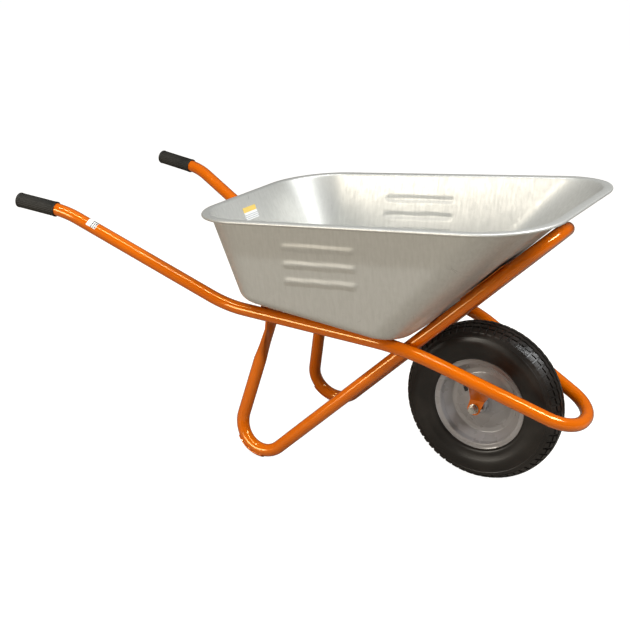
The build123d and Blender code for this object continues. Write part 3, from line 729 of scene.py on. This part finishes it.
makeTray()
print("tray pressed")


tyreShape = {
    "axle": (457.3, 0.0, 199.0),
    "sectionCentre": 153.5,
    "treadRadius": 45.4,
    "grooveRadius": 42.2,
    "wallRadius": 44.7,
    "cavityRadius": 38.0,
    "wallFrom": 50.0,   # degrees round the section, where the tread ends
    "pitches": 62,
    "columns": 5,
    "ribs": (3.0, 15.0),
    "blocks": (18.0, 32.0),
    "shoulder": (35.0, 52.0),
    "staggerColumns": 2,
    "zigzag": 1.8,
    "zigzagTo": 40.0,
    "swing": (0.0, 0.8, 0.5, -0.5, -0.8),
    "rows": (0.0, 3.0, 15.0, 18.0, 32.0, 35.0, 43.0, 51.0, 57.0, 62.5, 63.5, 66.5, 67.5, 77.0, 88.0,
             98.0, 108.0, 118.0),
    "bead": ((126.0, 38.9), (121.5, 38.6), (117.8, 37.4), (115.4, 35.4), (114.4, 33.4), (113.2, 31.0),
             (106.0, 30.6), (103.2, 29.2), (102.8, 24.0), (106.0, 20.5), (112.0, 21.5), (120.0, 26.0)),
    "ringRows": (63.5, 66.5),
    "ringHeight": 0.9,
    "lugTaper": 0.9,
    "cavityMargin": 1.5,
    "cavityFrom": 120, "cavityStep": 20,
    "smoothAngle": 38.0,
}


def tyreHalfProfile(side):
    shape = tyreShape
    points = []
    for row in shape["rows"]:
        radius = shape["grooveRadius"] if row < shape["wallFrom"] else shape["wallRadius"]
        if row in shape["ringRows"]:
            radius += shape["ringHeight"]
        angle = math.radians(row)
        points.append((shape["sectionCentre"] + radius * math.cos(angle), side * radius * math.sin(angle)))
    points += [(r, side * y) for r, y in shape["bead"]]
    for row in range(shape["cavityFrom"], 0, -shape["cavityStep"]):
        angle = math.radians(row)
        points.append((shape["sectionCentre"] + shape["cavityRadius"] * math.cos(angle),
                       side * shape["cavityRadius"] * math.sin(angle)))
    return points


def makeTyre():
    shape = tyreShape
    axle = Vector(shape["axle"])
    far = tyreHalfProfile(farSide)
    near = tyreHalfProfile(nearSide)
    crown = (shape["sectionCentre"] + shape["cavityRadius"], 0.0)
    outline = far + [crown] + near[:0:-1]
    bm = bmesh.new()
    verts = [bm.verts.new(axle + Vector((0, y, r))) for r, y in outline]
    edges = [bm.edges.new((a, b)) for a, b in zip(verts, verts[1:] + verts[:1])]
    columns = shape["pitches"] * shape["columns"]
    bmesh.ops.spin(bm, geom=verts + edges, cent=axle, axis=(0, 1, 0), dvec=(0, 0, 0),
                   angle=2 * math.pi, steps=columns, use_merge=True, use_duplicate=False)
    bmesh.ops.recalc_face_normals(bm, faces=bm.faces)

    def section(point):
        # column round the wheel, and the angle and radius within the tyre's section
        rel = point - axle
        reach = math.hypot(rel.x, rel.z)
        turn = math.atan2(rel.x, rel.z) % (2 * math.pi)
        out = reach - shape["sectionCentre"]
        return turn * columns / (2 * math.pi), math.degrees(math.atan2(rel.y, out)), math.hypot(out, rel.y)

    def place(turn, angle, radius):
        reach = shape["sectionCentre"] + radius * math.cos(math.radians(angle))
        y = radius * math.sin(math.radians(angle))
        return axle + Vector((reach * math.sin(turn), y, reach * math.cos(turn)))

    lugs = []
    gap = shape["columns"] - 1
    for face in bm.faces:
        column, angle, radius = section(face.calc_center_median())
        if radius < shape["cavityRadius"] + shape["cavityMargin"]:
            continue
        phase = int(column) % shape["columns"]
        staggered = (phase + shape["staggerColumns"]) % shape["columns"]
        lean = abs(angle)
        rib = shape["ribs"][0] < lean < shape["ribs"][1]
        block = shape["blocks"][0] < lean < shape["blocks"][1] and staggered != gap
        onShoulder = shape["shoulder"][0] < lean <= shape["shoulder"][1]
        if rib or block or (onShoulder and (phase if angle > 0 else staggered) != gap):
            lugs.append(face)
    limit = shape["zigzagTo"]
    for v in bm.verts:
        column, angle, radius = section(v.co)
        if radius < shape["cavityRadius"] + shape["cavityMargin"] or abs(angle) > limit:
            continue
        swing = shape["swing"][round(column) % shape["columns"]]
        shift = shape["zigzag"] * swing * (1 - (angle / limit) ** 4)
        v.co = place(round(column) * 2 * math.pi / columns, angle + shift, radius)
    raised = bmesh.ops.inset_region(bm, faces=lugs, thickness=shape["lugTaper"], depth=0.0,
                                    use_even_offset=True)
    for v in {v for face in lugs for v in face.verts}:
        column, angle, radius = section(v.co)
        v.co = place(column * 2 * math.pi / columns, angle, shape["treadRadius"])
    print("tyre:", len(bm.faces), "faces,", len(lugs), "raised,", len(raised["faces"]), "lug sides")
    piece = finishPiece(bm, "treadedTyre", "wheel", "tyre_rubber", shape["smoothAngle"])
    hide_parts("tyre")


makeTyre()
print("tyre moulded")


gripShape = {
    "end": (-717.0, 298.7, 598.4),
    "towards": tubeShape["handleBend"],
    "length": 116.0,
    "radius": 18.3,
    "beadRadius": 19.3,
    "beadLength": 4.0,
    "endFlat": 0.55,   # share of the radius
    "nose": ((-3.5, 0.2), (-1.6, 0.9), (-0.5, 2.2)),   # radius against the bead's, and height
    "beadTail": ((0.0, 0.0), (0.0, 1.0), (-0.3, 1.8)),
    "tailEnd": 2.6,
    "barrelGap": 3.0,
    "barrelRows": 8,
    "collarLead": (0.2, 1.0),
    "collarRound": (0.7, 0.8),
    "ridgeGaps": (2.0, 0.5),
    "skin": 1.0,
    "ridges": 26,
    "ridgeHeight": 0.45,
    "stepsPerRidge": 6,
    "boreRadius": 16.02,
    "smoothAngle": 40.0,
}


def makeGrip(side, name):
    shape = gripShape
    start = onSide(shape["end"], side)
    heading = (onSide(shape["towards"], side) - start).normalized()
    r, bead, long, wide = shape["radius"], shape["beadRadius"], shape["length"], shape["beadLength"]
    gap, rows = shape["barrelGap"], shape["barrelRows"]
    lead, rounding = shape["collarLead"], shape["collarRound"]
    profile = [(0.0, 0.0), (r * shape["endFlat"], 0.0)]
    profile += [(bead + change, z) for change, z in shape["nose"]]
    profile += [(bead + change, wide + z) for change, z in shape["beadTail"]]
    profile += [(r, wide + shape["tailEnd"])]
    profile += [(r, wide + gap + (long - 2 * wide - 2 * gap) * row / rows) for row in range(rows + 1)]
    profile += [(r + lead[0], long - wide - lead[1]), (bead, long - wide), (bead, long - rounding[1]),
                (bead - rounding[0], long), (shape["boreRadius"], long)]
    bm = bmesh.new()
    verts = [bm.verts.new((radius, 0.0, z)) for radius, z in profile]
    edges = [bm.edges.new(pair) for pair in zip(verts, verts[1:])]
    steps = shape["ridges"] * shape["stepsPerRidge"]
    bmesh.ops.spin(bm, geom=verts + edges, cent=(0, 0, 0), axis=(0, 0, 1), dvec=(0, 0, 0),
                   angle=2 * math.pi, steps=steps, use_merge=True, use_duplicate=False)
    for v in bm.verts:
        reach = math.hypot(v.co.x, v.co.y)
        onBarrel = wide + shape["ridgeGaps"][0] < v.co.z < long - wide - shape["ridgeGaps"][1]
        if onBarrel and reach > r - shape["skin"]:
            wave = math.cos(shape["ridges"] * math.atan2(v.co.y, v.co.x))
            factor = 1 + shape["ridgeHeight"] * wave / reach
            v.co.x *= factor
            v.co.y *= factor
    bmesh.ops.transform(bm, matrix=facing(start, heading), verts=bm.verts)
    piece = finishPiece(bm, name, "chassis", "grip_rubber", shape["smoothAngle"])
    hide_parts("grip_right" if side == nearSide else "grip_left")


makeGrip(nearSide, "gripRight")
makeGrip(farSide, "gripLeft")
print("grips moulded")


plateEdges = {
    "foot_strip_left": 0.5, "foot_strip_right": 0.5, "rear_cross_member": 0.5, "front_cross_strap": 0.6,
    "front_wall_plate": 0.6, "axle_bracket_left": 0.7, "axle_bracket_right": 0.7, "axle_bolt": 0.35,
    "axle_nut": 0.35, "axle_washers": 0.3, "tray_bolts": 0.2, "tray_nuts": 0.25, "tray_washers": 0.2,
    "leg_bolts": 0.25, "leg_nuts": 0.25, "leg_washers": 0.2,
}
smoothedOnly = ("crossing_welds", "rim_half_left", "rim_half_right", "hub_tube", "axle_spacers", "hub_sleeve",
                "valve_foot", "valve_stem", "valve_cap", "handle_label", "tray_label")
softening = {"mergeDistance": 0.00002, "flatAngle": 1.0, "segments": 2}   # metres, degrees, faces


def camelName(name):
    first, *rest = name.split("_")
    return first + "".join(word.capitalize() for word in rest)


def softenedCopy(name, body, slotName, bevelWidth):
    bm = bmesh.new()
    bm.from_mesh(nodes[name].data)
    bmesh.ops.remove_doubles(bm, verts=bm.verts, dist=softening["mergeDistance"])
    if bevelWidth:
        bmesh.ops.dissolve_limit(bm, angle_limit=math.radians(softening["flatAngle"]), verts=bm.verts,
                                 edges=bm.edges)
    piece = finishPiece(bm, camelName(name), body, slotName, scale=1.0)
    if bevelWidth:
        soften = piece.modifiers.new("softEdges", "BEVEL")
        soften.width = bevelWidth * millimetre
        soften.segments = softening["segments"]
        soften.limit_method = "ANGLE"
        soften.angle_limit = math.radians(creaseAngle)
        soften.harden_normals = True
    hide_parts(name)


for body, members in bodies.items():
    for member in members:
        slotName = nodes[member].material_slots[0].material.name.split(".")[0]
        if member in plateEdges or member in smoothedOnly:
            softenedCopy(member, body, slotName, plateEdges.get(member, 0.0))
        else:
            nodes[member].material_slots[0].material = materials[slotName]
print("plates and fasteners softened")


stageLook = {
    "floorSize": 80.0,
    "floorShade": 0.95,
    "floorClouds": 3.0,
    "floorRoughness": 0.8, "floorSpecular": 0.1,
    "seenColour": (1.0, 1.0, 0.995, 1.0),      # what the camera sees of the floor and the backdrop
    "seenGlow": 0.97,
    "shadedColour": (0.32, 0.29, 0.25, 1.0),   # the floor, as the paint and the sheet mirror it
    "worldColour": (1.0, 0.97, 0.92, 1.0),
    "worldStrength": 0.14,
    "lights": (
        # name, place, aimed at, size along and across, watts, colour
        ("overheadSoftbox", (0.3, -1.3, 3.0), (0.3, 0.0, 0.4), (3.4, 0.10), 74.0, (0.95, 0.98, 1.0)),
        ("frontPanel", (-2.4, -4.6, 1.3), (0.0, 0.0, 0.4), (2.4, 1.6), 150.0, (1.0, 0.93, 0.81)),
        ("sideSoftbox", (2.5, -0.3, 2.5), (0.5, 0.0, 0.3), (1.8, 0.7), 110.0, (0.95, 0.98, 1.0)),
        ("trayFill", (0.0, 0.6, 3.4), (0.2, 0.0, 0.4), (3.0, 2.4), 4.0, (0.90, 0.95, 1.0)),
    ),
}
cameraShape = {
    "place": (1.45032, -2.49411, 1.37343),
    "azimuth": 30.44, "elevation": 19.91, "roll": 0.357,
    "lens": 68.89, "sensor": 36.0, "clipEnd": 200.0,
}


def splitForCamera(tree, mirrored, seen, output):
    # camera rays meet one shader, and all other rays the other
    rays = addNode(tree, "ShaderNodeLightPath")
    chosen = addNode(tree, "ShaderNodeMixShader", Fac=rays.outputs["Is Camera Ray"])
    tree.links.new(mirrored, chosen.inputs[1])
    tree.links.new(seen, chosen.inputs[2])
    tree.links.new(chosen.outputs[0], output.inputs["Surface"])


def makeFloor():
    bm = bmesh.new()
    bmesh.ops.create_grid(bm, x_segments=8, y_segments=8, size=stageLook["floorSize"] / 2)
    mesh = bpy.data.meshes.new("floor")
    bm.to_mesh(mesh)
    bm.free()
    floor = bpy.data.objects.new("floor", mesh)
    bpy.context.scene.collection.objects.link(floor)
    material, tree, shader, place = newMaterial("paleFloor", Roughness=stageLook["floorRoughness"],
                                                Specular_IOR_Level=stageLook["floorSpecular"])
    faint = placeGroup(tree, grainGroup, Vector=place, Scale=stageLook["floorClouds"], Detail=2.0)
    shaded = stageLook["shadedColour"]
    linkColour(tree, shader, faint.outputs["Mask"], shaded, darkened(shaded, stageLook["floorShade"]))
    glow = addNode(tree, "ShaderNodeEmission", Color=stageLook["seenColour"], Strength=stageLook["seenGlow"])
    both = addNode(tree, "ShaderNodeAddShader")
    tree.links.new(shader.outputs[0], both.inputs[0])
    tree.links.new(glow.outputs[0], both.inputs[1])
    splitForCamera(tree, shader.outputs[0], both.outputs[0], tree.nodes["Material Output"])
    mesh.materials.append(material)


def makeLights():
    scene = bpy.context.scene
    world = bpy.data.worlds.new("studio")
    world.use_nodes = True
    tree = world.node_tree
    shaded = tree.nodes["Background"]
    shaded.inputs["Color"].default_value = stageLook["worldColour"]
    shaded.inputs["Strength"].default_value = stageLook["worldStrength"]
    seen = addNode(tree, "ShaderNodeBackground", Color=stageLook["seenColour"],
                   Strength=stageLook["seenGlow"])
    splitForCamera(tree, shaded.outputs[0], seen.outputs[0], tree.nodes["World Output"])
    scene.world = world
    for name, place, target, size, watts, colour in stageLook["lights"]:
        data = bpy.data.lights.new(name, "AREA")
        data.shape = "RECTANGLE"
        data.size, data.size_y = size
        data.energy = watts
        data.color = colour
        lamp = bpy.data.objects.new(name, data)
        aim = Vector(target) - Vector(place)
        lamp.matrix_world = Matrix.Translation(place) @ aim.to_track_quat("-Z", "Y").to_matrix().to_4x4()
        scene.collection.objects.link(lamp)


def makeCamera():
    shape = cameraShape
    azimuth, elevation, roll = (math.radians(shape[key]) for key in ("azimuth", "elevation", "roll"))
    back = Vector((math.sin(azimuth) * math.cos(elevation), -math.cos(azimuth) * math.cos(elevation),
                   math.sin(elevation)))
    right = (-back).cross(Vector((0, 0, 1))).normalized()
    up = right.cross(-back)
    turnedRight = right * math.cos(roll) + up * math.sin(roll)
    turnedUp = up * math.cos(roll) - right * math.sin(roll)
    data = bpy.data.cameras.new("camera")
    data.lens = shape["lens"]
    data.sensor_width = shape["sensor"]
    data.clip_end = shape["clipEnd"]
    camera = bpy.data.objects.new("camera", data)
    turn = Matrix((turnedRight, turnedUp, back)).transposed().to_4x4()
    camera.matrix_world = Matrix.Translation(shape["place"]) @ turn
    bpy.context.scene.collection.objects.link(camera)
    bpy.context.scene.camera = camera


makeFloor()
makeLights()
makeCamera()
bpy.context.scene.view_settings.view_transform = "Standard"
print("stage set")
